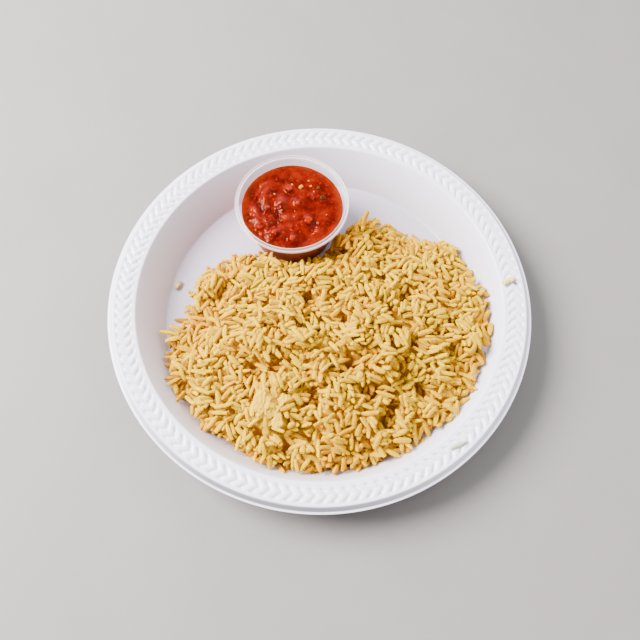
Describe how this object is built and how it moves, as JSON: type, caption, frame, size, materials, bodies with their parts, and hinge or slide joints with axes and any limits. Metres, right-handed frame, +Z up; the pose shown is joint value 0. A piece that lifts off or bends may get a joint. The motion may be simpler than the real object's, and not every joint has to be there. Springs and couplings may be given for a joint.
{
  "type": "plate of rice pilaf",
  "caption": "round rimmed plate filled with a loose heap of golden rice pilaf, with a chunk of chicken and a clear portion cup of tomato sauce",
  "frame": {"origin": "centre of the plate's flat underside", "axes": "+Z up out of the plate, -Y the front of the plate where the rice lies, +X to the right, the sauce cup on the back (+Y) side"},
  "size_m": [0.2286, 0.2286, 0.034],
  "materials": {
    "plate": "smooth white disposable plate with a soft gloss",
    "cup": "thin clear plastic, faintly cloudy at the rolled rim",
    "sauce": "wet, glossy chunky tomato sauce",
    "rice": "cooked long-grain rice, moist and slightly translucent, cream to golden",
    "chicken": "cooked pale chicken, fibrous and moist",
    "crumb": "small broken bit of yellow food"
  },
  "bodies": {
    "root": {"plate": "plate", "sauce_cup": "cup", "sauce": "sauce", "rice": "rice", "chicken_piece": "chicken", "stray_grain_floor": "rice", "stray_grain_rim": "rice", "stray_crumb_rim": "crumb"}
  },
  "joints": []
}
